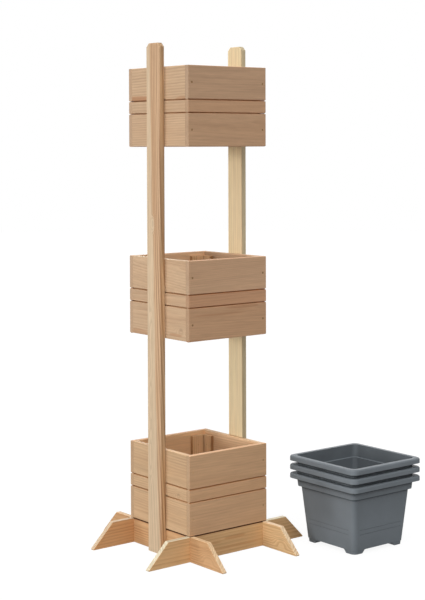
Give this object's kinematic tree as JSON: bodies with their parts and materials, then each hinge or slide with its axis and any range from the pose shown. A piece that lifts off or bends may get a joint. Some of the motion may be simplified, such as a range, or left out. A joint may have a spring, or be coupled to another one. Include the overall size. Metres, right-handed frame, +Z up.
{
  "type": "planter tower",
  "caption": "Freestanding softwood planter tower: square boarded boxes between two flat posts on a cross-lapped base, with its nested plastic liner pots standing beside it.",
  "frame": {"origin": "on the floor, under the middle of the tower", "axes": "+Z up along the posts, +X from the left post to the right post, -Y the front of the boxes"},
  "size_m": [0.721, 0.648, 1.338],
  "materials": {
    "front_board": "planed softwood, matt",
    "side_board": "planed softwood, matt",
    "batten": "sawn and planed softwood, matt",
    "slat": "planed softwood, matt",
    "post": "planed softwood, matt",
    "base_rail": "planed softwood, matt",
    "screw": "yellow zinc plating, dull",
    "pot": "moulded, satin"
  },
  "bodies": {
    "tower": {"back_rail": "base_rail", "front_rail": "base_rail", "left_post": "post", "left_post_screws": "screw", "left_rail": "base_rail", "lower_back_bottom_board": "front_board", "lower_back_strip": "front_board", "lower_back_top_board": "front_board", "lower_corner_battens": "batten", "lower_floor_slats": "slat", "lower_front_bottom_board": "front_board", "lower_front_strip": "front_board", "lower_front_top_board": "front_board", "lower_left_bottom_board": "side_board", "lower_left_strip": "side_board", "lower_left_top_board": "side_board", "lower_right_bottom_board": "side_board", "lower_right_strip": "side_board", "lower_right_top_board": "side_board", "lower_slat_screws": "screw", "lower_wall_screws": "screw", "middle_back_bottom_board": "front_board", "middle_back_strip": "front_board", "middle_back_top_board": "front_board", "middle_corner_battens": "batten", "middle_floor_slats": "slat", "middle_front_bottom_board": "front_board", "middle_front_strip": "front_board", "middle_front_top_board": "front_board", "middle_left_bottom_board": "side_board", "middle_left_strip": "side_board", "middle_left_top_board": "side_board", "middle_right_bottom_board": "side_board", "middle_right_strip": "side_board", "middle_right_top_board": "side_board", "middle_slat_screws": "screw", "middle_wall_screws": "screw", "right_post": "post", "right_post_screws": "screw", "right_rail": "base_rail", "upper_back_bottom_board": "front_board", "upper_back_strip": "front_board", "upper_back_top_board": "front_board", "upper_corner_battens": "batten", "upper_floor_slats": "slat", "upper_front_bottom_board": "front_board", "upper_front_strip": "front_board", "upper_front_top_board": "front_board", "upper_left_bottom_board": "side_board", "upper_left_strip": "side_board", "upper_left_top_board": "side_board", "upper_right_bottom_board": "side_board", "upper_right_strip": "side_board", "upper_right_top_board": "side_board", "upper_slat_screws": "screw", "upper_wall_screws": "screw"},
    "bottom_pot": {"bottom_pot": "pot"},
    "middle_pot": {"middle_pot": "pot"},
    "top_pot": {"top_pot": "pot"}
  },
  "joints": [
    {"name": "bottom_pot_lift", "type": "slide", "parent": "tower", "child": "bottom_pot", "axis": [0, 0, 1], "range_m": [0, 0.2]},
    {"name": "middle_pot_lift", "type": "slide", "parent": "bottom_pot", "child": "middle_pot", "axis": [0, 0, 1], "range_m": [0, 0.2]},
    {"name": "top_pot_lift", "type": "slide", "parent": "middle_pot", "child": "top_pot", "axis": [0, 0, 1], "range_m": [0, 0.2]}
  ]
}
